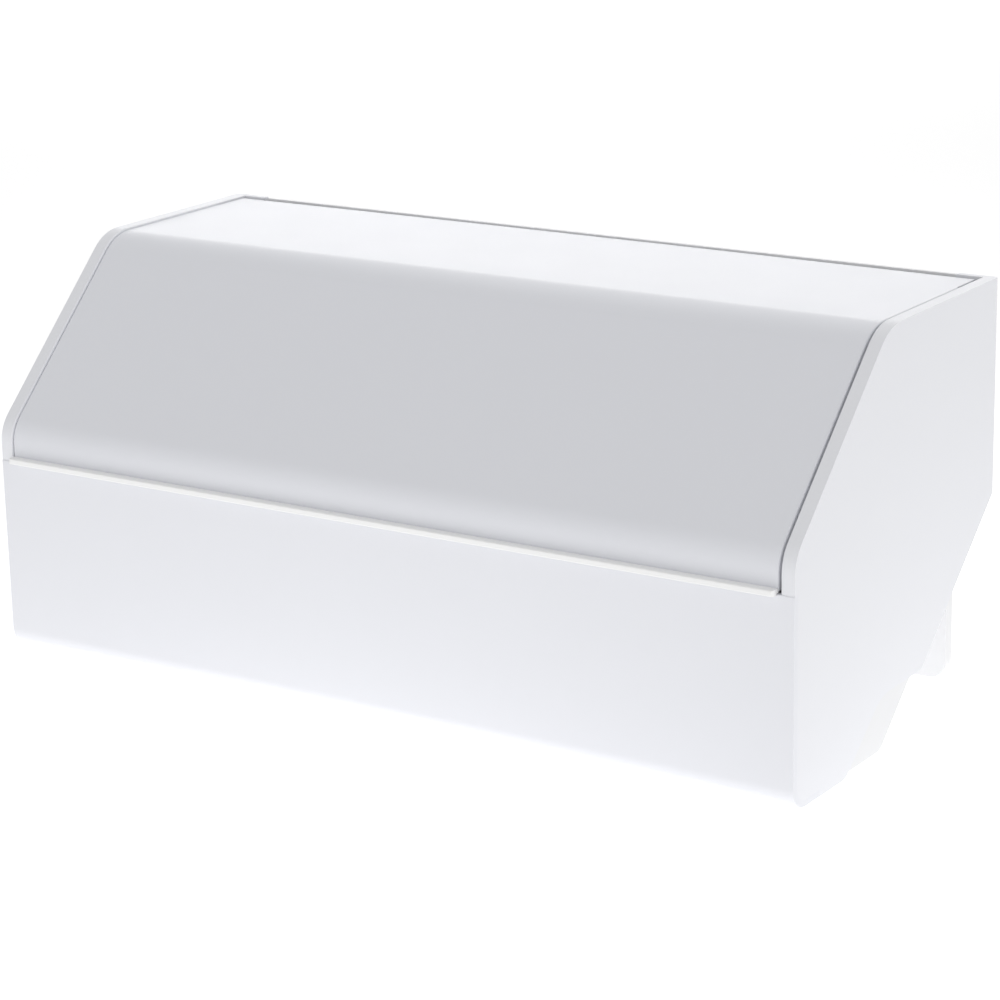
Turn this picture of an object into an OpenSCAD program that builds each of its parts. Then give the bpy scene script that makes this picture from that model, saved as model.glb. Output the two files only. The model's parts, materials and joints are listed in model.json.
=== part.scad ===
// Bread box with a one-piece bent cover that lifts up about a hinge at the rear top.
// Millimetres, +Z up, the front faces -Y. The origin is the middle of the outline,
// on the surface that the box stands on.

/* [Overall] */
// Width over the cheeks
box_w = 400; // [340:1:460]
// Depth from the pull lip to the rear panel
box_d = 182; // [178:1:200]
// Height from the table to the top of the cheeks
box_h = 180; // [174:1:195]

/* [Side profile] */
// Height where the upright front turns into the slope
slope_start_h = 105; // [102:1:110]
// How far back the slope runs before the top
slope_run = 78; // [68:1:84]
// Outside radius of the bend between front and slope
lower_bend_r = 17; // [12:1:26]
// Outside radius of the bend between slope and top
upper_bend_r = 24; // [12:1:30]
// Height of the front panel, where the cover ends
front_panel_h = 90; // [85:1:92]
// Height where the upright rear turns into the slanted floor
slant_top_h = 88; // [84:1:92]
// Angle of the slanted floor above level
slant_angle = 42; // [40:0.5:44]
// Height of the step in each cheek's lower rear edge
cheek_step_h = 27; // [22:1:30]

/* [Walls] */
// Thickness of a cheek's skin
cheek_t = 3.2; // [2.8:0.1:3.4]
// Width of a cheek's rim beside the cover
rim_w = 6; // [5.6:0.1:7]
// Depth of the rim under the cheek's edge
rim_depth = 5; // [4:0.5:6]
// Thickness of the front panel
front_t = 3; // [2.5:0.1:3.5]
// Wall of the bread tub
tub_t = 2.5; // [2:0.1:3]
// Wall of the rear panel, which is a shallow tray
rear_skin = 2.5; // [2:0.1:2.8]
// Depth of the rear panel over its rim
rear_panel_d = 6; // [5.5:0.1:6.5]
// Wall of the cover
lid_t = 3; // [2.5:0.1:3.1]

/* [Cover] */
// Gap between the centred cover and each cheek's rim
lid_side_gap = 0.9; // [0.8:0.1:1.5]
// How far the cover rests to the left in its side play
lid_rest = 0.7; // [0:0.1:0.7]
// How far the cover lies below the cheeks' rims
lid_drop = 0.8; // [0.3:0.1:0.8]
// How far the pull lip stands out from the front panel
lip_proud = 3; // [2:0.5:4]
// Height of the pull lip
lip_h = 2.6; // [2.4:0.2:5]
// How far the pull lip hangs over the front panel's top edge
lip_hang = 0.8; // [0.5:0.1:2]
// How far the rear edge of the cover bows out at its middle
rear_bow = 1.5; // [0:0.1:1.5]

/* [Hinge] */
// Distance of the hinge axis from the rear plane
hinge_inset = 17; // [17:0.5:19]
// Distance of the hinge axis below the top of the cheeks
hinge_drop = 7.6; // [7.6:0.1:8]
// Diameter of the hinge pins
pin_d = 4; // [3:0.5:4]

/* [Hidden] */

$fn = 48;
ARC_STEPS = 8;
EPS = 0.01;
LEFT = -1;
RIGHT = 1;

half_w = box_w / 2;
front_y = lip_proud - box_d / 2;
rear_y = box_d / 2;

foot_h = 0.3;
cheek_base_h = foot_h + 1;
cheek_setback = 0.4;
cheek_foot_l = 44;
cheek_step_run = 31;
base_r = 10;
fit_gap = 0.2;

front_return = 22;
rim_inner_x = half_w - rim_w;
flange_w = 18;
rear_corner_r = 2;
tub_half_w = half_w - cheek_t - 0.3;
tub_inner_x = rim_inner_x;
tub_rear_y = rear_y - rear_panel_d;
tub_rear_h = box_h - 22;
tub_front_h = front_panel_h - 3;
ledge_d = 9;
rear_panel_half_w = half_w - flange_w - 0.3;
rear_top_h = box_h - 0.4;
rear_top_t = 2.2;
rear_rib_count = 5;
rear_rib_t = 2;
rear_rib_shift = 8;

lid_half_w = rim_inner_x - lid_side_gap;
lid_bottom_h = front_panel_h + 0.4;
lid_rear_y = rear_y - 6;
lid_top_h = box_h - lid_drop;
lid_under_h = lid_top_h - lid_t;
lid_return = 9;
lid_relief = 0.8;
lid_relief_l = 17;
skirt_t = 2.5;
skirt_h = 8;
skirt_end_y = rear_y - 27;

hinge_y = rear_y - hinge_inset;
hinge_z = box_h - hinge_drop;
pin_r = pin_d / 2;
bush_r = pin_r + 1.5;
bush_clearance = 0.06;
bush_depth = 4.2;
arm_x = lid_half_w - skirt_t - 1;
arm_w = 5;
arm_boss_r = 3.6;
arm_foot_w = 18;
arm_foot_t = 2.5;

screw_r = 1.5;
screw_head_r = 3;
screw_head_h = 1.8;
boss_r = 3.6;

front_foot_r = 8;
foot_recess = 1;
rear_pad_w = 4;
rear_pad_l = 40;
front_foot_x = half_w - 38;
front_foot_y = front_y + 38;
rear_foot_x = rear_panel_half_w - 36;
bumper_x = half_w - 60;

// Where the screws sit
cheek_screw_zs = [slant_top_h + 14, tub_rear_h - 12];
rear_screw_xs = [-rear_panel_half_w + 31, 0, rear_panel_half_w - 31];
rear_screw_zs = [slant_top_h + 14, tub_rear_h - 12];
base_screw_xs = [-half_w + 40, -half_w / 3, half_w / 3, half_w - 40];
base_screw_y = front_y + 16;
arm_screw_ys = [hinge_y - 28, hinge_y - 14];
arm_screw_x = arm_x - arm_w - 7;

// --- Outlines. A corner is [y, z, radius], and a closed outline runs anticlockwise. ---

function unit(v) = v / norm(v);
function flat(c) = [c[0], c[1]];
function left_normal(a, b) = let (u = unit(b - a)) [-u[1], u[0]];
function half_turn(a) = a > 180 ? a - 360 : a < -180 ? a + 360 : a;

// Points of the arc that rounds corner b on the way from a to c
function corner_arc(a, b, c, r) =
    r <= 0 ? [b] :
    let (
        u = unit(a - b),
        w = unit(c - b),
        half = acos(u * w) / 2,
        centre = b + unit(u + w) * r / sin(half),
        start = b + u * r / tan(half) - centre,
        end = b + w * r / tan(half) - centre,
        from = atan2(start[1], start[0]),
        sweep = half_turn(atan2(end[1], end[0]) - from)
    )
    [for (i = [0 : ARC_STEPS])
        let (angle = from + sweep * i / ARC_STEPS)
        centre + r * [cos(angle), sin(angle)]];

// All points of a closed outline
function rounded(path) =
    let (n = len(path))
    [for (i = [0 : n - 1])
        each corner_arc(flat(path[(i + n - 1) % n]), flat(path[i]), flat(path[(i + 1) % n]), path[i][2])];

// All points of an open line of corners, whose two ends stay sharp
function open_rounded(path) =
    let (n = len(path))
    [for (i = [0 : n - 1])
        each (i == 0 || i == n - 1)
            ? [flat(path[i])]
            : corner_arc(flat(path[i - 1]), flat(path[i]), flat(path[i + 1]), path[i][2])];

// One corner moved to the left of its two edges by d, with its radius kept concentric
function moved_corner(a, b, c, r, d) =
    let (
        n1 = left_normal(a, b),
        n2 = left_normal(b, c),
        p = b + d * (n1 + n2) / (1 + n1 * n2),
        turn = sign(cross(b - a, c - b))
    )
    [p[0], p[1], r <= 0 ? 0 : max(r - turn * d, 0)];

// A closed outline shrunk by d
function inset(path, d) =
    let (n = len(path))
    [for (i = [0 : n - 1])
        moved_corner(flat(path[(i + n - 1) % n]), flat(path[i]), flat(path[(i + 1) % n]), path[i][2], d)];

// An open line of corners moved to its left by d
function shifted(path, d) =
    let (
        n = len(path),
        first = flat(path[0]) + d * left_normal(flat(path[0]), flat(path[1])),
        last = flat(path[n - 1]) + d * left_normal(flat(path[n - 2]), flat(path[n - 1]))
    )
    [for (i = [0 : n - 1])
        i == 0 ? [first[0], first[1], 0] :
        i == n - 1 ? [last[0], last[1], 0] :
        moved_corner(flat(path[i - 1]), flat(path[i]), flat(path[i + 1]), path[i][2], d)];

function reversed(list) = [for (i = [len(list) - 1 : -1 : 0]) list[i]];

// The wall between an open line and the same line moved to its left by t
function wall(path, t) = concat(open_rounded(path), reversed(open_rounded(shifted(path, t))));

function slant_y(z) = rear_y - (slant_top_h - z) / tan(slant_angle);
function slant_z(y) = slant_top_h - (rear_y - y) * tan(slant_angle);

cheek_path = [
    [front_y + cheek_setback, cheek_base_h, base_r],
    [front_y + cheek_foot_l, cheek_base_h, 8],
    [front_y + cheek_foot_l + cheek_step_run, cheek_step_h, 20],
    [slant_y(cheek_step_h), cheek_step_h, 5],
    [rear_y, slant_top_h, 6],
    [rear_y, box_h, 0],
    [front_y + slope_run, box_h, upper_bend_r],
    [front_y + cheek_setback, slope_start_h, lower_bend_r]
];

front_path = [
    [front_y, front_panel_h, 0.4],
    [front_y, cheek_base_h, base_r],
    [front_y + front_return, cheek_base_h, 0],
    [front_y + front_return, cheek_base_h + front_t, 0],
    [front_y + front_t, cheek_base_h + front_t, base_r - front_t],
    [front_y + front_t, front_panel_h, 0.4]
];

// The tub's floor and ends, from the top of its front wall round to the top of its rear wall
tub_front_y = front_y + front_t + fit_gap;
joggle_y = front_y + front_return + fit_gap;
joggle_h = cheek_base_h + front_t + fit_gap;
tub_floor_path = [
    [tub_front_y, tub_front_h, 0],
    [tub_front_y, joggle_h, base_r - front_t - fit_gap],
    [joggle_y + 2, joggle_h, 2],
    [joggle_y + 6, foot_h, 2],
    [slant_y(foot_h), foot_h, 8],
    [tub_rear_y, slant_z(tub_rear_y), 6],
    [tub_rear_y, tub_rear_h, 0]
];
// The side walls also fill the profile up to just under the cheeks' rims
rim_under_path = inset(cheek_path, rim_depth + 0.3);
tub_side_path = concat(tub_floor_path, [
    [tub_rear_y, box_h - rim_depth - 0.3, 1],
    rim_under_path[6],
    rim_under_path[7],
    [rim_under_path[7][0], tub_front_h, 0]
]);

// The cover's outside, from its rear edge down to its lower edge, and on along the inward return
lid_face_y = front_y + cheek_setback + lid_drop;
lid_shell_path = inset(cheek_path, lid_drop);
lid_outer_path = [
    [lid_rear_y + rear_bow, lid_top_h, 0],
    lid_shell_path[6],
    lid_shell_path[7],
    [lid_face_y, lid_bottom_h, 1.2]
];
lid_path = concat(lid_outer_path, [[lid_face_y + lid_return, lid_bottom_h, 0]]);

leg_corner_r = 8;
rear_outline = [
    [-rear_panel_half_w, rear_top_h, 1],
    [-rear_panel_half_w, foot_h, leg_corner_r],
    [rear_panel_half_w, foot_h, leg_corner_r],
    [rear_panel_half_w, rear_top_h, 1]
];

// --- Helpers ---

// Extrudes a (y, z) outline from x0 to x1
module along_x(x0, x1) {
    translate([x0, 0, 0])
        rotate([90, 0, 90])
            linear_extrude(x1 - x0) children();
}

// Extrudes an (x, z) outline from y0 to y1
module along_y(y0, y1) {
    translate([0, y1, 0])
        rotate([90, 0, 0])
            linear_extrude(y1 - y0) children();
}

// A part drawn on the right side, kept there or mirrored to the left
module on_side(side) {
    if (side == RIGHT) children();
    else mirror([1, 0, 0]) children();
}

// A part of the cover, at the left end of the cover's side play
module on_lid() {
    translate([-lid_rest, 0, 0]) children();
}

module block(x0, x1, y0, y1, z0, z1) {
    translate([x0, y0, z0]) cube([x1 - x0, y1 - y0, z1 - z0]);
}

module rod_x(r, x0, x1, y, z) {
    translate([x0, y, z]) rotate([0, 90, 0]) cylinder(r = r, h = x1 - x0);
}

module rod_y(r, y0, y1, x, z) {
    translate([x, y1, z]) rotate([90, 0, 0]) cylinder(r = r, h = y1 - y0);
}

module rod_z(r, z0, z1, x, y) {
    translate([x, y, z0]) cylinder(r = r, h = z1 - z0);
}

// A pan-head screw along +Z with its head below z = 0 and a cross recess in the head
module screw(length, r = screw_r, head_r = screw_head_r, head_h = screw_head_h) {
    slot_w = head_r * 0.3;
    slot_l = head_r * 1.2;
    slot_depth = head_h * 0.5;
    difference() {
        union() {
            cylinder(r = r, h = length);
            translate([0, 0, -head_h * 0.6]) cylinder(r = head_r, h = head_h * 0.6);
            translate([0, 0, -head_h]) cylinder(r1 = head_r * 0.75, r2 = head_r, h = head_h * 0.4);
        }
        for (turn = [0, 90])
            rotate([0, 0, turn])
                translate([-slot_l / 2, -slot_w / 2, -head_h - EPS])
                    cube([slot_l, slot_w, slot_depth + EPS]);
    }
}

// --- Body ---

module front_panel() {
    color("whitesmoke")
    difference() {
        along_x(-half_w, half_w) polygon(rounded(front_path));
        for (x = base_screw_xs) {
            rod_z(screw_r, cheek_base_h - 1, cheek_base_h + front_t + 1, x, base_screw_y);
            rod_z(screw_head_r + 0.3, cheek_base_h - 1, cheek_base_h + screw_head_h, x, base_screw_y);
        }
    }
}

// The flat skin of a cheek, let in behind the front panel
module cheek_skin() {
    difference() {
        along_x(half_w - cheek_t, half_w) polygon(rounded(cheek_path));
        along_x(half_w - cheek_t - 1, half_w + 1) polygon(rounded(front_path));
        block(half_w - cheek_t - 1, half_w + 1, front_y - 1, front_y + front_t,
            cheek_base_h - 1, front_panel_h);
    }
}

// The thicker rim that frames the cover along the upright, the slope and the top
module cheek_rim() {
    difference() {
        along_x(rim_inner_x, half_w - cheek_t + EPS) polygon(rounded(cheek_path));
        along_x(rim_inner_x - 1, half_w) polygon(rounded(inset(cheek_path, rim_depth)));
        block(rim_inner_x - 1, half_w, front_y - 1, rear_y + 1, 0, front_panel_h + EPS);
        block(rim_inner_x - 1, half_w, rear_y - 20, rear_y + 1, 0, box_h - rim_depth);
    }
}

// The strip that each cheek turns round the rear corner
module cheek_flange() {
    flange = [
        [half_w - flange_w, slant_top_h + 4, 3],
        [half_w - cheek_t + EPS, slant_top_h + 4, 0],
        [half_w - cheek_t + EPS, box_h, 0],
        [half_w - flange_w, box_h, 0]
    ];
    along_y(rear_y - cheek_t, rear_y) polygon(rounded(flange));
}

// The rim, the skin and the rear strip, with a hub round the bush
module cheek_body() {
    cheek_skin();
    cheek_rim();
    cheek_flange();
    intersection() {
        rod_x(bush_r + 4, rim_inner_x, half_w - cheek_t + EPS, hinge_y, hinge_z);
        along_x(rim_inner_x, half_w) polygon(rounded(cheek_path));
    }
}

module cheek(side) {
    // Seen from above, the rear corner is round
    plan = [
        [half_w, -box_d, 0],
        [half_w, rear_y, rear_corner_r],
        [half_w - 2 * flange_w, rear_y, 0],
        [half_w - 2 * flange_w, -box_d, 0]
    ];
    on_side(side)
    difference() {
        intersection() {
            cheek_body();
            linear_extrude(box_h + 1) polygon(rounded(plan));
        }
        rod_x(bush_r, rim_inner_x - 1, rim_inner_x + bush_depth, hinge_y, hinge_z);
        for (z = cheek_screw_zs) {
            rod_y(screw_r, rear_y - cheek_t - 1, rear_y + 1, half_w - flange_w / 2, z);
            rod_y(screw_head_r + 0.3, rear_y - screw_head_h, rear_y + 1, half_w - flange_w / 2, z);
        }
    }
}

module left_cheek() { color("white") cheek(LEFT); }

module right_cheek() { color("white") cheek(RIGHT); }

// The space inside the tub, open at the top
module tub_cavity() {
    top_h = box_h + 1;
    floor_line = shifted(tub_floor_path, tub_t);
    n = len(floor_line);
    cavity = concat(
        [[floor_line[0][0], top_h, 0]],
        [for (i = [1 : n - 2]) floor_line[i]],
        [[floor_line[n - 1][0], top_h, 0]]
    );
    along_x(-tub_inner_x, tub_inner_x) polygon(rounded(cavity));
}

module bread_tub() {
    rear_boss_depth = 7;
    base_boss_h = 6;
    color("white")
    difference() {
        union() {
            difference() {
                along_x(-tub_half_w, tub_half_w) polygon(rounded(tub_side_path));
                tub_cavity();
                // The end walls stop below the cover, and the corners clear the hinge
                block(-tub_inner_x, tub_inner_x, tub_rear_y - 10, rear_y, tub_rear_h, box_h + 1);
                block(-tub_inner_x, tub_inner_x, front_y, front_y + 20, tub_front_h, box_h + 1);
                for (side = [LEFT, RIGHT])
                    on_side(side)
                        block(tub_inner_x - 1, half_w, hinge_y - 10, rear_y, tub_rear_h, box_h + 1);
            }
            block(-tub_inner_x - EPS, tub_inner_x + EPS, tub_front_y, tub_front_y + ledge_d,
                tub_front_h - tub_t, tub_front_h);
            for (x = base_screw_xs)
                rod_z(boss_r, joggle_h + 1, joggle_h + tub_t + base_boss_h, x, base_screw_y);
            for (x = rear_screw_xs, z = rear_screw_zs)
                rod_y(boss_r, tub_rear_y - rear_boss_depth, tub_rear_y - 1, x, z);
            for (side = [LEFT, RIGHT], z = cheek_screw_zs)
                on_side(side)
                    rod_y(boss_r, tub_rear_y - rear_boss_depth, rear_y - cheek_t, half_w - flange_w / 2, z);
        }
        for (x = base_screw_xs)
            rod_z(screw_r, joggle_h - 1, joggle_h + base_boss_h, x, base_screw_y);
        for (x = rear_screw_xs, z = rear_screw_zs)
            rod_y(screw_r, tub_rear_y - rear_boss_depth + 1, tub_rear_y + 1, x, z);
        for (side = [LEFT, RIGHT], z = cheek_screw_zs)
            on_side(side)
                rod_y(screw_r, tub_rear_y - rear_boss_depth + 1, rear_y, half_w - flange_w / 2, z);
        for (side = [LEFT, RIGHT])
            rod_z(front_foot_r, 0, foot_h + foot_recess, side * front_foot_x, front_foot_y);
    }
}

// A shallow tray with its smooth face forward, which also reaches down as the rear leg
module rear_panel() {
    recess_top_h = tub_rear_h - rear_skin;
    recess = [
        [-rear_panel_half_w + rear_skin, recess_top_h, 2],
        [-rear_panel_half_w + rear_skin, foot_h + rear_skin, leg_corner_r - rear_skin],
        [rear_panel_half_w - rear_skin, foot_h + rear_skin, leg_corner_r - rear_skin],
        [rear_panel_half_w - rear_skin, recess_top_h, 2]
    ];
    rib_pitch = 2 * rear_panel_half_w / (rear_rib_count + 1);
    color("whitesmoke")
    difference() {
        union() {
            difference() {
                along_y(rear_y - rear_panel_d, rear_y) polygon(rounded(rear_outline));
                along_y(rear_y - rear_panel_d + rear_skin, rear_y + 1) polygon(rounded(recess));
                block(-half_w, half_w, rear_y - rear_panel_d - 1, rear_y - rear_top_t, tub_rear_h, box_h);
            }
            for (i = [1 : rear_rib_count])
                translate([(i - (rear_rib_count + 1) / 2) * rib_pitch + rear_rib_shift, 0, 0])
                    block(-rear_rib_t / 2, rear_rib_t / 2, rear_y - rear_panel_d + 1, rear_y - 0.8,
                        foot_h + 1, recess_top_h + 1);
        }
        for (x = rear_screw_xs, z = rear_screw_zs)
            rod_y(screw_r, rear_y - rear_panel_d - 1, rear_y, x, z);
        rear_feet();
    }
}

// A flanged sleeve pressed into each cheek
module hinge_bush(side) {
    on_side(side)
    difference() {
        union() {
            rod_x(bush_r, rim_inner_x, rim_inner_x + bush_depth - 0.1, hinge_y, hinge_z);
            rod_x(bush_r + 1.6, rim_inner_x - 0.6, rim_inner_x + EPS, hinge_y, hinge_z);
        }
        rod_x(pin_r + bush_clearance, rim_inner_x - 1, half_w, hinge_y, hinge_z);
    }
}

module left_hinge_bush() { color("lightgray") hinge_bush(LEFT); }

module right_hinge_bush() { color("lightgray") hinge_bush(RIGHT); }

module cheek_screws() {
    color("silver")
    for (side = [LEFT, RIGHT], z = cheek_screw_zs)
        on_side(side)
            translate([half_w - flange_w / 2, rear_y - screw_head_h, z])
                rotate([90, 0, 0]) screw(rear_panel_d + 3);
}

module rear_screws() {
    color("silver")
    for (x = rear_screw_xs, z = rear_screw_zs)
        translate([x, rear_y - rear_panel_d + rear_skin, z])
            rotate([90, 0, 0]) screw(8);
}

module base_screws() {
    color("silver")
    for (x = base_screw_xs)
        translate([x, base_screw_y, cheek_base_h + screw_head_h]) screw(6.5);
}

// A rubber stop on the tub's front ledge, under the cover's lower edge
module lid_bumper(side) {
    on_side(side)
    translate([bumper_x, tub_front_y + ledge_d / 2, tub_front_h])
        cylinder(r1 = 4, r2 = 3, h = lid_bottom_h - tub_front_h - 0.3);
}

module left_lid_bumper() { color("gainsboro") lid_bumper(LEFT); }

module right_lid_bumper() { color("gainsboro") lid_bumper(RIGHT); }

module front_feet() {
    edge = foot_h;
    color("lightgray")
    for (side = [LEFT, RIGHT])
        translate([side * front_foot_x, front_foot_y, 0]) {
            cylinder(r1 = front_foot_r - edge, r2 = front_foot_r, h = edge);
            translate([0, 0, edge]) cylinder(r = front_foot_r, h = foot_h + foot_recess - edge);
        }
}

// Long pads let into the rear panel's lower edge
module rear_feet() {
    pad_y = rear_y - rear_panel_d / 2;
    color("lightgray")
    for (side = [LEFT, RIGHT])
        on_side(side)
            block(rear_foot_x - rear_pad_l / 2, rear_foot_x + rear_pad_l / 2,
                pad_y - rear_pad_w / 2, pad_y + rear_pad_w / 2, 0, foot_h + foot_recess);
}

// --- Cover ---

// Bent out of one sheet. Its rear edge bows out, and its rear corners clear the hinge.
module lid_cover() {
    bow_steps = 12;
    relief_y = lid_rear_y - lid_relief_l;
    rear_half_w = lid_half_w - lid_relief;
    plan = concat(
        [[rear_half_w, relief_y], [lid_half_w, relief_y], [lid_half_w, -box_d]],
        [[-lid_half_w, -box_d], [-lid_half_w, relief_y], [-rear_half_w, relief_y]],
        [for (i = [0 : bow_steps])
            let (t = 2 * i / bow_steps - 1)
            [t * rear_half_w, lid_rear_y + rear_bow * (1 - t * t)]]
    );
    color("white")
    on_lid()
    difference() {
        union() {
            intersection() {
                along_x(-lid_half_w, lid_half_w) polygon(wall(lid_path, lid_t));
                translate([0, 0, -1]) linear_extrude(box_h + 2) polygon(reversed(plan));
            }
            for (side = [LEFT, RIGHT])
                on_side(side) lid_skirt();
        }
        for (side = [LEFT, RIGHT], y = arm_screw_ys)
            rod_z(screw_r - 0.2, lid_under_h - 1, lid_under_h + 2, side * arm_screw_x, y);
    }
}

// The stiffening edge under each side of the cover, rooted halfway into its wall
module lid_skirt() {
    root = lid_t / 2;
    difference() {
        along_x(lid_half_w - skirt_t, lid_half_w)
            polygon(wall(shifted(lid_outer_path, root), skirt_h + root));
        block(0, half_w, skirt_end_y, rear_y, 0, box_h);
    }
}

// A thin strip across the cover's lower edge, for the fingers
module lid_pull_lip() {
    tip_y = front_y - lip_proud;
    hang_y = front_y - 0.4;
    low_h = lid_bottom_h - lip_hang;
    top_h = low_h + lip_h;
    profile = [
        [tip_y, low_h, 0.5],
        [hang_y, low_h, 0.3],
        [hang_y, lid_bottom_h, 0],
        [lid_face_y, lid_bottom_h, 0],
        [lid_face_y, top_h, 0],
        [tip_y, top_h, 0.6]
    ];
    plan = [
        [-lid_half_w, tip_y, 1.5],
        [lid_half_w, tip_y, 1.5],
        [lid_half_w, lid_face_y, 0],
        [-lid_half_w, lid_face_y, 0]
    ];
    color("white")
    on_lid()
    intersection() {
        along_x(-lid_half_w, lid_half_w) polygon(rounded(profile));
        linear_extrude(box_h) polygon(rounded(plan));
    }
}

// A bracket screwed under the cover that carries one hinge pin
module hinge_arm(side) {
    foot_y0 = hinge_y - 34;
    foot_y1 = hinge_y - 8;
    web = [
        [foot_y0 + 6, lid_under_h - arm_foot_t + EPS, 0],
        [hinge_y - 3, hinge_z - arm_boss_r + 0.4, 0],
        [hinge_y, hinge_z, 0],
        [hinge_y - 2, lid_under_h - 0.4, 0],
        [foot_y1, lid_under_h - 0.4, 0]
    ];
    on_lid()
    on_side(side)
    difference() {
        union() {
            block(arm_x - arm_foot_w, arm_x, foot_y0, foot_y1, lid_under_h - arm_foot_t, lid_under_h);
            along_x(arm_x - arm_w, arm_x) polygon(rounded(web));
            rod_x(arm_boss_r, arm_x - arm_w, arm_x, hinge_y, hinge_z);
        }
        rod_x(pin_r, arm_x - arm_w - 1, arm_x + 1, hinge_y, hinge_z);
        for (y = arm_screw_ys)
            rod_z(screw_r - 0.2, lid_under_h - arm_foot_t - 1, lid_under_h + 1, arm_screw_x, y);
    }
}

module left_hinge_arm() { color("whitesmoke") hinge_arm(LEFT); }

module right_hinge_arm() { color("whitesmoke") hinge_arm(RIGHT); }

// A pin with a small head inside the arm, whose free end turns in the bush
module hinge_pin(side) {
    on_lid()
    on_side(side) {
        rod_x(pin_r, arm_x - arm_w - EPS, rim_inner_x + bush_depth - 0.8, hinge_y, hinge_z);
        rod_x(pin_r + 1, arm_x - arm_w - 1.5, arm_x - arm_w, hinge_y, hinge_z);
    }
}

module left_hinge_pin() { color("silver") hinge_pin(LEFT); }

module right_hinge_pin() { color("silver") hinge_pin(RIGHT); }

module arm_screws() {
    color("silver")
    on_lid()
    for (side = [LEFT, RIGHT], y = arm_screw_ys)
        on_side(side)
            translate([arm_screw_x, y, lid_under_h - arm_foot_t])
                screw(arm_foot_t + 1.8, screw_r - 0.2, 2.4, 1.4);
}

front_panel();
left_cheek();
right_cheek();
bread_tub();
rear_panel();
lid_cover();
lid_pull_lip();
left_hinge_arm();
right_hinge_arm();
left_hinge_pin();
right_hinge_pin();
left_hinge_bush();
right_hinge_bush();
arm_screws();
cheek_screws();
rear_screws();
base_screws();
left_lid_bumper();
right_lid_bumper();
front_feet();
rear_feet();
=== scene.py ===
"""Looks of the bread box: rounded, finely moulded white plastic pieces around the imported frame."""

import json
import math

import bmesh
import bpy
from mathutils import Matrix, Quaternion, Vector

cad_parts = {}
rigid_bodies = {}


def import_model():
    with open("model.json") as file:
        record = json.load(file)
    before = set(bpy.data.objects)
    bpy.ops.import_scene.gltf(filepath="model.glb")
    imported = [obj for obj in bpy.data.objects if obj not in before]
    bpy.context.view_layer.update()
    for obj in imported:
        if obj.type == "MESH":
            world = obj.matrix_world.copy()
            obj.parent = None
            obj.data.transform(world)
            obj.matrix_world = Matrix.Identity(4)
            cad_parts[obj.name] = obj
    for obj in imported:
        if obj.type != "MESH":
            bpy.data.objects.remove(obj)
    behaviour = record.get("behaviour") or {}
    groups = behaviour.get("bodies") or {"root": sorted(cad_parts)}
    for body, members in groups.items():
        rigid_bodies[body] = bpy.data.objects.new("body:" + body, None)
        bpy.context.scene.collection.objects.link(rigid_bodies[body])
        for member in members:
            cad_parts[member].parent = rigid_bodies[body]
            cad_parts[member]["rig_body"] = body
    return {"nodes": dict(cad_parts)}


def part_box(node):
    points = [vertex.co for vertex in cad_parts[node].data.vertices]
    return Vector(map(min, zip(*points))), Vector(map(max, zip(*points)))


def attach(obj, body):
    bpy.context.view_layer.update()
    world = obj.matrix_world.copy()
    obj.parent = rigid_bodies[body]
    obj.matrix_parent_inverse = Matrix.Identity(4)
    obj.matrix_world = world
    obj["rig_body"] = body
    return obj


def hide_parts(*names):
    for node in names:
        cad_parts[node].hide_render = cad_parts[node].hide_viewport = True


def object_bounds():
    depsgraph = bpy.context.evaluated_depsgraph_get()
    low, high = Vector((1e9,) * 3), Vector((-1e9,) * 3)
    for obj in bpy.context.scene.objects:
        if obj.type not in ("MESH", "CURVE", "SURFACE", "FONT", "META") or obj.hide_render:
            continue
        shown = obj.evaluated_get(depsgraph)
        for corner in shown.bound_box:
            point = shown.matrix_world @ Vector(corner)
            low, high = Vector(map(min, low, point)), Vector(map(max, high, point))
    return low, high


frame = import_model()
cad_low, cad_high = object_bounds()

MM = 0.001
X = 0
Y = 1
WHITE = (1, 1, 1, 1)

# Points closer than SAME_PLACE count as one place, and corners closer than WELD are joined
SAME_PLACE = 0.02 * MM
WELD = SAME_PLACE / 4

# Faces that meet at more than SHARP_ANGLE have a sharp edge, and at less than FLAT_ANGLE become one
SHARP_ANGLE = math.radians(28)
FLAT_ANGLE = math.radians(0.5)

# Sizes of the CAD that no node's box gives: how thick the front panel and the cheeks are, the radius
# of a cheek's rear corner, how far the tub's ends lie beyond the inner face of the cheeks' rims, and
# how far forward of its rearmost point the cover narrows beside the hinge
PANEL_T = 3 * MM
CHEEK_T = 3.2 * MM
CHEEK_CORNER_R = 2 * MM
TUB_PAST_RIM = 2.5 * MM
COVER_NARROW_L = 18.5 * MM

# Planes and boxes that the rounding of edges refers to, read from the frame
half_w = cad_high.x
rear_y = cad_high.y
top_z = cad_high.z
tub_end_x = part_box("bread_tub")[1].x
rim_inner_x = tub_end_x - TUB_PAST_RIM
strip_front_y = rear_y - CHEEK_T
panel_low, panel_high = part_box("front_panel")
rear_panel_front_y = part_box("rear_panel")[0].y
cover_low, cover_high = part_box("lid_cover")
cover_narrow_y = cover_high.y - COVER_NARROW_L
lip_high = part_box("lid_pull_lip")[1]

# Radius of each kind of moulded edge, and the number of steps round it
CHEEK_OUTER_R = 0.9 * MM
CHEEK_INNER_R = 0.4 * MM
PANEL_R = 0.25 * MM
TUB_R = 0.4 * MM
REAR_PANEL_R = 0.4 * MM
COVER_R = 0.75 * MM
LIP_GROOVE_R = 0.5 * MM
ROUND_STEPS = 4


# --- Camera -------------------------------------------------------------------------------

AZIMUTH = math.radians(33.55)
ELEVATION = math.radians(16.32)
ROLL = math.radians(1.19)
DISTANCE = 1.3986
TARGET = Vector((0.0089, -0.0013, 0.0791))
LENS_MM = 115.8
SENSOR_MM = 36


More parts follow.
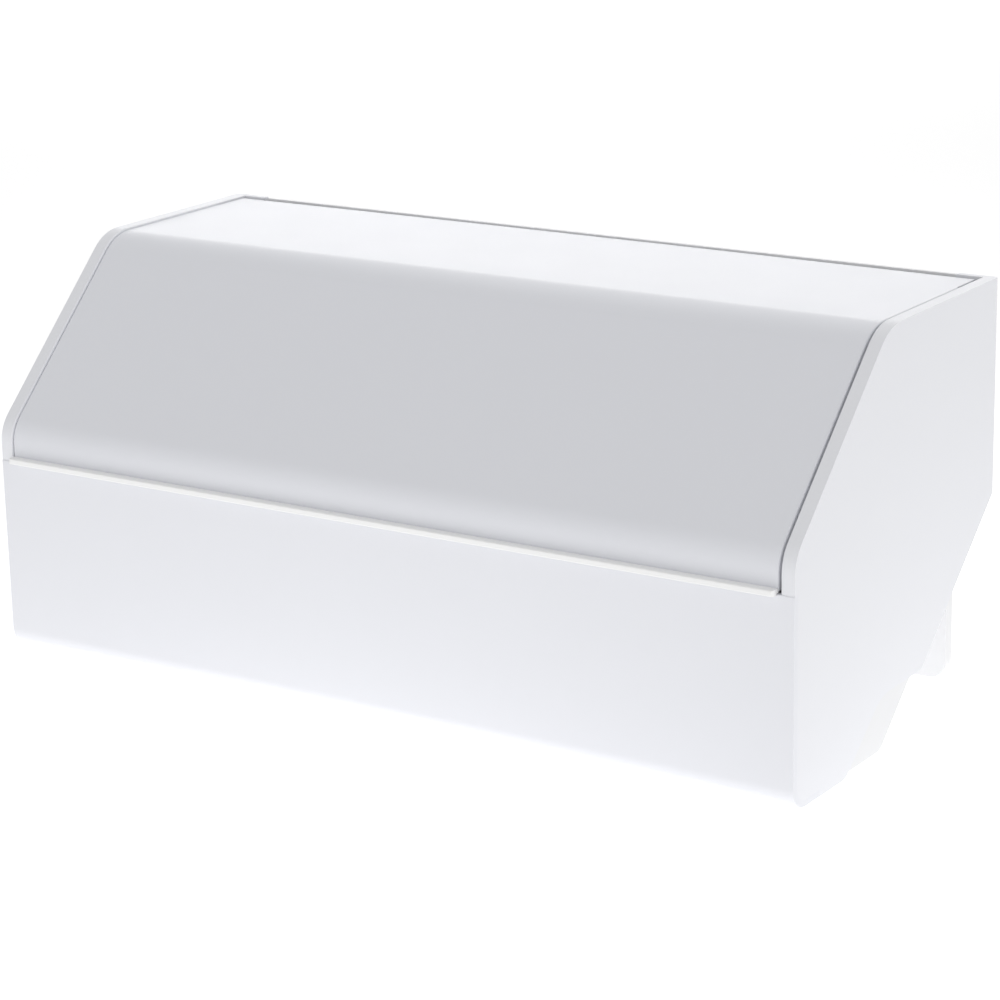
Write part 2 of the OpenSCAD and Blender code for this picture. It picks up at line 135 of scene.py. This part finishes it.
def make_camera():
    """Stands to the front right of the box and a little above it, with a long lens."""
    # From the target back to the camera
    back = Vector((
        math.sin(AZIMUTH) * math.cos(ELEVATION),
        -math.cos(AZIMUTH) * math.cos(ELEVATION),
        math.sin(ELEVATION),
    ))
    data = bpy.data.cameras.new("camera")
    data.lens = LENS_MM
    data.sensor_width = SENSOR_MM
    camera = bpy.data.objects.new("camera", data)
    camera.location = TARGET + back * DISTANCE
    camera.rotation_mode = "QUATERNION"
    camera.rotation_quaternion = (-back).to_track_quat("-Z", "Y") @ Quaternion((0, 0, 1), -ROLL)
    bpy.context.scene.collection.objects.link(camera)
    bpy.context.scene.camera = camera


# --- Shader nodes -------------------------------------------------------------------------

# Noise seldom leaves this range
NOISE_LOW = 0.3
NOISE_HIGH = 0.7

# The sockets of a Mix node that mixes two colours
MIX_FACTOR = 0
MIX_FIRST = 6
MIX_SECOND = 7
MIX_RESULT = 2


class Nodes:
    """A short way to add and join a material's nodes."""

    def __init__(self, name):
        self.material = bpy.data.materials.new(name)
        self.material.use_nodes = True
        self.tree = self.material.node_tree
        self.shader = self.tree.nodes["Principled BSDF"]
        self.place = self.add("ShaderNodeTexCoord").outputs["Object"]

    def add(self, kind, **settings):
        node = self.tree.nodes.new(kind)
        for key, value in settings.items():
            setattr(node, key, value)
        return node

    def join(self, output, target):
        self.tree.links.new(output, target)

    def noise(self, per_metre, detail=2.0):
        """Soft noise with about per_metre features to the metre."""
        node = self.add("ShaderNodeTexNoise")
        node.inputs["Scale"].default_value = per_metre
        node.inputs["Detail"].default_value = detail
        self.join(self.place, node.inputs["Vector"])
        return node.outputs["Fac"]

    def spread(self, value, low, high):
        """A noise value, spread so that it runs from low to high."""
        node = self.add("ShaderNodeMapRange")
        node.inputs["From Min"].default_value = NOISE_LOW
        node.inputs["From Max"].default_value = NOISE_HIGH
        node.inputs["To Min"].default_value = low
        node.inputs["To Max"].default_value = high
        self.join(value, node.inputs["Value"])
        return node.outputs["Result"]

    def mix_colour(self, factor, first, second):
        """first where the factor is 0, and second where it is 1."""
        node = self.add("ShaderNodeMix", data_type="RGBA")
        node.inputs[MIX_FIRST].default_value = (*first, 1)
        node.inputs[MIX_SECOND].default_value = (*second, 1)
        self.join(factor, node.inputs[MIX_FACTOR])
        return node.outputs[MIX_RESULT]

    def cloud_colour(self, first, second, per_metre, detail=2.0):
        """Colours the surface with soft clouds of two colours."""
        clouds = self.spread(self.noise(per_metre, detail), 0, 1)
        self.join(self.mix_colour(clouds, first, second), self.shader.inputs["Base Color"])

    def vary_roughness(self, low, high, per_metre, detail=2.0):
        """Gives the surface smoother and rougher patches."""
        patches = self.spread(self.noise(per_metre, detail), low, high)
        self.join(patches, self.shader.inputs["Roughness"])

    def bump(self, height, distance, strength, under=None):
        """A relief as deep as the distance, laid over the relief given as under."""
        node = self.add("ShaderNodeBump")
        node.inputs["Distance"].default_value = distance
        node.inputs["Strength"].default_value = strength
        self.join(height, node.inputs["Height"])
        if under is not None:
            self.join(under, node.inputs["Normal"])
        return node.outputs["Normal"]


# --- Studio -------------------------------------------------------------------------------

# Brightness of the room's four walls, and the painted light of the table: how much it glows far off,
# and how much more in a painted pool of light near the box
WALLS = {"front": 0.523, "back": 0.142, "left": 0.0, "right": 0.594}
FAR_PAINTED_GLOW = 0.282
NEAR_PAINTED_GLOW = 0.747

# Half the table's width, how far its painted pool of light reaches, the drop that keeps it off the
# feet, and its own tone and roughness
TABLE_HALF = 6.0
NEAR_RADIUS = 0.8
TABLE_DROP = 0.05 * MM
TABLE_GREY = (0.8, 0.8, 0.8, 1)
TABLE_ROUGHNESS = 0.8


def make_floor():
    """A pale table painted with light: it glows a little, most of all in a painted pool near the box,
    standing in for the light on a lit white table.
    """
    corners = [(TABLE_HALF * x, TABLE_HALF * y, 0) for x, y in ((-1, -1), (1, -1), (1, 1), (-1, 1))]
    mesh = bpy.data.meshes.new("floor")
    mesh.from_pydata(corners, [], [(0, 1, 2, 3)])
    floor = bpy.data.objects.new("floor", mesh)
    floor.location.z = cad_low.z - TABLE_DROP
    bpy.context.scene.collection.objects.link(floor)
    nodes = Nodes("pale_table_painted_glow")
    scaled = nodes.add("ShaderNodeVectorMath", operation="SCALE")
    scaled.inputs["Scale"].default_value = 1 / NEAR_RADIUS
    nodes.join(nodes.place, scaled.inputs[0])
    falloff = nodes.add("ShaderNodeTexGradient", gradient_type="QUADRATIC_SPHERE")
    nodes.join(scaled.outputs[0], falloff.inputs[0])
    # Painted light: the table's emission, strongest in a pool round the box
    glow = nodes.add("ShaderNodeMath", operation="MULTIPLY_ADD")
    glow.inputs[1].default_value = NEAR_PAINTED_GLOW
    glow.inputs[2].default_value = FAR_PAINTED_GLOW
    nodes.join(falloff.outputs["Fac"], glow.inputs[0])
    nodes.join(glow.outputs[0], nodes.shader.inputs["Emission Strength"])
    nodes.shader.inputs["Base Color"].default_value = TABLE_GREY
    nodes.shader.inputs["Roughness"].default_value = TABLE_ROUGHNESS
    nodes.shader.inputs["Emission Color"].default_value = WHITE
    mesh.materials.append(nodes.material)


def make_light(name, place, aim, size, power):
    """A soft rectangular lamp at a place, turned towards its aim."""
    data = bpy.data.lights.new(name, "AREA")
    data.shape = "RECTANGLE"
    data.size, data.size_y = size
    data.energy = power
    light = bpy.data.objects.new(name, data)
    light.location = place
    light.rotation_mode = "QUATERNION"
    light.rotation_quaternion = (Vector(aim) - Vector(place)).to_track_quat("-Z", "Y")
    bpy.context.scene.collection.objects.link(light)


def make_sky():
    """A white room whose four walls differ softly in brightness."""
    world = bpy.data.worlds.new("studio")
    world.use_nodes = True
    tree = world.node_tree
    place = tree.nodes.new("ShaderNodeTexCoord").outputs["Generated"]
    # Half of the four walls together, plus a slope from left to right and one from front to back
    slope_x = (WALLS["right"] - WALLS["left"]) / 2
    slope_y = (WALLS["back"] - WALLS["front"]) / 2
    tilt = tree.nodes.new("ShaderNodeVectorMath")
    tilt.operation = "DOT_PRODUCT"
    tilt.inputs[1].default_value = (slope_x, slope_y, 0)
    total = tree.nodes.new("ShaderNodeMath")
    total.operation = "ADD"
    total.inputs[1].default_value = sum(WALLS.values()) / 2
    tree.links.new(place, tilt.inputs[0])
    tree.links.new(tilt.outputs["Value"], total.inputs[0])
    tree.links.new(total.outputs[0], tree.nodes["Background"].inputs["Strength"])
    tree.nodes["Background"].inputs["Color"].default_value = WHITE
    bpy.context.scene.world = world


def make_studio():
    make_floor()
    make_sky()
    make_light(
        "overhead", place=(-0.25, 0.65, 0.97), aim=(-0.05, 0.03, 0.15), size=(1.2, 0.35), power=2.8)
    make_light(
        "horizon", place=(-2.1, 3.2, 0.9), aim=(0, 0, 0.1), size=(2.6, 1.4), power=38.4)
    bpy.context.scene.view_settings.view_transform = "Standard"


# --- Materials ----------------------------------------------------------------------------

# How much darker a plastic's clouds are, and how far its roughness goes below and above its own
CLOUD_TONE = 0.995
SMOOTHER = 0.012
ROUGHER = 0.018
PLASTIC_IOR = 1.5


def moulded_plastic(name, colour, roughness, grain_depth):
    """White plastic: faint clouding of the tone, a fine moulded grain and slight flow waviness."""
    nodes = Nodes(name)
    darker = [channel * CLOUD_TONE for channel in colour]
    nodes.cloud_colour(colour, darker, per_metre=14, detail=3.0)
    nodes.vary_roughness(roughness - SMOOTHER, roughness + ROUGHER, per_metre=60, detail=4.0)
    waves = nodes.bump(nodes.noise(per_metre=9, detail=1.0), distance=0.1 * MM, strength=0.1)
    fine_noise = nodes.noise(per_metre=2200, detail=3.0)
    grain = nodes.bump(fine_noise, distance=grain_depth, strength=0.5, under=waves)
    nodes.join(grain, nodes.shader.inputs["Normal"])
    nodes.shader.inputs["IOR"].default_value = PLASTIC_IOR
    return nodes.material


def zinc_steel(name):
    """Zinc-plated steel with fine turning marks."""
    nodes = Nodes(name)
    nodes.cloud_colour((0.72, 0.73, 0.76), (0.58, 0.59, 0.62), per_metre=900, detail=4.0)
    nodes.vary_roughness(0.22, 0.4, per_metre=1500)
    marks = nodes.bump(nodes.noise(per_metre=4000), distance=0.01 * MM, strength=0.4)
    nodes.join(marks, nodes.shader.inputs["Normal"])
    nodes.shader.inputs["Metallic"].default_value = 1.0
    return nodes.material


def soft_rubber(name):
    """Light grey rubber, matt and very slightly pitted."""
    nodes = Nodes(name)
    nodes.cloud_colour((0.56, 0.56, 0.55), (0.48, 0.48, 0.47), per_metre=500)
    nodes.vary_roughness(0.62, 0.78, per_metre=800)
    pits = nodes.bump(nodes.noise(per_metre=3000, detail=4.0), distance=0.03 * MM, strength=0.6)
    nodes.join(pits, nodes.shader.inputs["Normal"])
    return nodes.material


shell_plastic = moulded_plastic(
    "shell_plastic", colour=(0.815, 0.823, 0.862), roughness=0.47, grain_depth=0.012 * MM)
# Painted light: the cheeks are a lighter copy of the shell's white plastic, standing in for the
# brighter light on their rims
cheek_plastic_painted_light = moulded_plastic(
    "cheek_plastic_painted_light", colour=(0.838, 0.845, 0.878), roughness=0.5, grain_depth=0.012 * MM)
# Painted shade: the cover is a darker copy of the shell's white plastic, standing in for the shade on
# its slope
cover_plastic = moulded_plastic(
    "cover_plastic", colour=(0.795, 0.805, 0.846), roughness=0.46, grain_depth=0.010 * MM)
# Partly the lip's own whiter tone, partly painted light on its top, which faces away from the lamps
lip_plastic_tone_and_painted_light = moulded_plastic(
    "lip_plastic_tone_and_painted_light", colour=(0.93, 0.93, 0.928), roughness=0.33, grain_depth=0.008 * MM)
tub_plastic = moulded_plastic(
    "tub_plastic", colour=(0.835, 0.838, 0.85), roughness=0.5, grain_depth=0.016 * MM)
hinge_plastic = moulded_plastic(
    "hinge_plastic", colour=(0.72, 0.72, 0.72), roughness=0.5, grain_depth=0.02 * MM)
steel = zinc_steel("zinc_steel")
rubber = soft_rubber("soft_rubber")


# --- Pieces -------------------------------------------------------------------------------

def near(a, b):
    """Whether two distances are the same."""
    return abs(a - b) < SAME_PLACE


def is_sharp(edge):
    """Whether two faces meet at this edge at a clear angle."""
    return len(edge.link_faces) == 2 and edge.calc_face_angle() > SHARP_ANGLE


def finished_copy(node, material, rounds):
    """A new piece in a CAD node's place and shape, with edges rounded as moulded ones are.

    rounds lists (radius, test): the sharp outward edges that pass the test get that radius.
    """
    source = frame["nodes"][node]
    bm = bmesh.new()
    bm.from_mesh(source.data)
    bmesh.ops.remove_doubles(bm, verts=bm.verts, dist=WELD)
    bmesh.ops.dissolve_limit(bm, angle_limit=FLAT_ANGLE, verts=bm.verts, edges=bm.edges)
    for radius, test in rounds:
        chosen = [e for e in bm.edges if is_sharp(e) and e.is_convex and test(*(v.co for v in e.verts))]
        bmesh.ops.bevel(bm, geom=chosen, offset=radius, offset_type="OFFSET", segments=ROUND_STEPS,
                        profile=0.5, affect="EDGES", clamp_overlap=True)
    for face in bm.faces:
        face.smooth = True
    for edge in bm.edges:
        edge.smooth = not is_sharp(edge)
    mesh = bpy.data.meshes.new(node + "_finished")
    bm.to_mesh(mesh)
    bm.free()
    mesh.materials.append(material)
    piece = bpy.data.objects.new(node + "_finished", mesh)
    bpy.context.scene.collection.objects.link(piece)
    normals = piece.modifiers.new("even_shading", "WEIGHTED_NORMAL")
    normals.keep_sharp = True
    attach(piece, source["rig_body"])
    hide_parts(node)


def both(test):
    """Makes a test of one point into a test of an edge's two ends."""
    return lambda a, b: test(a) and test(b)


def in_planes(axis, *places):
    """Makes a test of whether an edge lies in one of the planes at these places along an axis."""
    return lambda a, b: any(near(a[axis], place) and near(b[axis], place) for place in places)


def in_end_planes(x):
    """Makes a test of whether an edge lies in the plane at x or in its mirror plane."""
    return in_planes(X, -x, x)


def on_outer_skin(point):
    """In a cheek's outer plane, or on the round rear corner that it turns into."""
    across = abs(point.x) - (half_w - CHEEK_CORNER_R)
    along = point.y - (rear_y - CHEEK_CORNER_R)
    on_corner = min(across, along) > 0 and near(math.hypot(across, along), CHEEK_CORNER_R)
    return near(across, CHEEK_CORNER_R) or on_corner


def clear_of_panel(a, b):
    """Behind or above the front panel, and so not an edge that lies against it."""
    behind_panel = min(a.y, b.y) > panel_low.y + PANEL_T + SAME_PLACE
    above_panel = min(a.z, b.z) > panel_high.z - SAME_PLACE
    return behind_panel or above_panel


def on_rear_top(point):
    """At the back of a cheek's top."""
    return near(point.y, rear_y) and near(point.z, top_z)


def on_strip_front_top(point):
    """At the top of the front of a cheek's rear strip."""
    return near(point.y, strip_front_y) and near(point.z, top_z)


def make_cheek(node):
    def outer(a, b):
        on_side = both(on_outer_skin)(a, b) and clear_of_panel(a, b)
        return on_side or both(on_rear_top)(a, b)

    def inner(a, b):
        return in_end_planes(rim_inner_x)(a, b) or both(on_strip_front_top)(a, b)

    finished_copy(node, cheek_plastic_painted_light, [(CHEEK_OUTER_R, outer), (CHEEK_INNER_R, inner)])


def on_panel_outside(point):
    """In the front panel's front or under side, and not in the faces towards the tub."""
    return point.y < panel_low.y + PANEL_T / 2 or point.z < panel_low.z + PANEL_T / 2


def make_front_panel():
    def outer(a, b):
        return in_end_planes(half_w)(a, b) and both(on_panel_outside)(a, b)

    finished_copy("front_panel", shell_plastic, [(PANEL_R, outer)])


def make_tub():
    finished_copy("bread_tub", tub_plastic, [(TUB_R, in_end_planes(tub_end_x))])


def make_rear_panel():
    outline = in_planes(Y, rear_panel_front_y, rear_y)
    finished_copy("rear_panel", tub_plastic, [(REAR_PANEL_R, outline)])


def make_cover():
    def sides(a, b):
        """Along the cover's sides, as far back as the step where it narrows beside the hinge."""
        before_step = min(a.y, b.y) < cover_narrow_y - SAME_PLACE
        return in_planes(X, cover_low.x, cover_high.x)(a, b) and before_step

    finished_copy("lid_cover", cover_plastic, [(COVER_R, sides)])


def make_pull_lip():
    def on_groove(point):
        """Where the lip's top meets the cover's face: its rounding leaves a fine dark line there."""
        return near(point.y, lip_high.y) and near(point.z, lip_high.z)

    finished_copy("lid_pull_lip", lip_plastic_tone_and_painted_light, [(LIP_GROOVE_R, both(on_groove))])


def finish_small_parts():
    """Gives the CAD nodes that keep their own shape their materials, by a word in their names."""
    looks = {
        "hinge_arm": hinge_plastic,
        "hinge_bush": hinge_plastic,
        "hinge_pin": steel,
        "screws": steel,
        "bumper": rubber,
        "feet": rubber,
    }
    for name, node in frame["nodes"].items():
        for part, material in looks.items():
            if part in name:
                node.data.materials.clear()
                node.data.materials.append(material)


make_camera()
make_studio()
make_cheek("left_cheek")
make_cheek("right_cheek")
make_front_panel()
make_tub()
make_rear_panel()
make_cover()
make_pull_lip()
finish_small_parts()
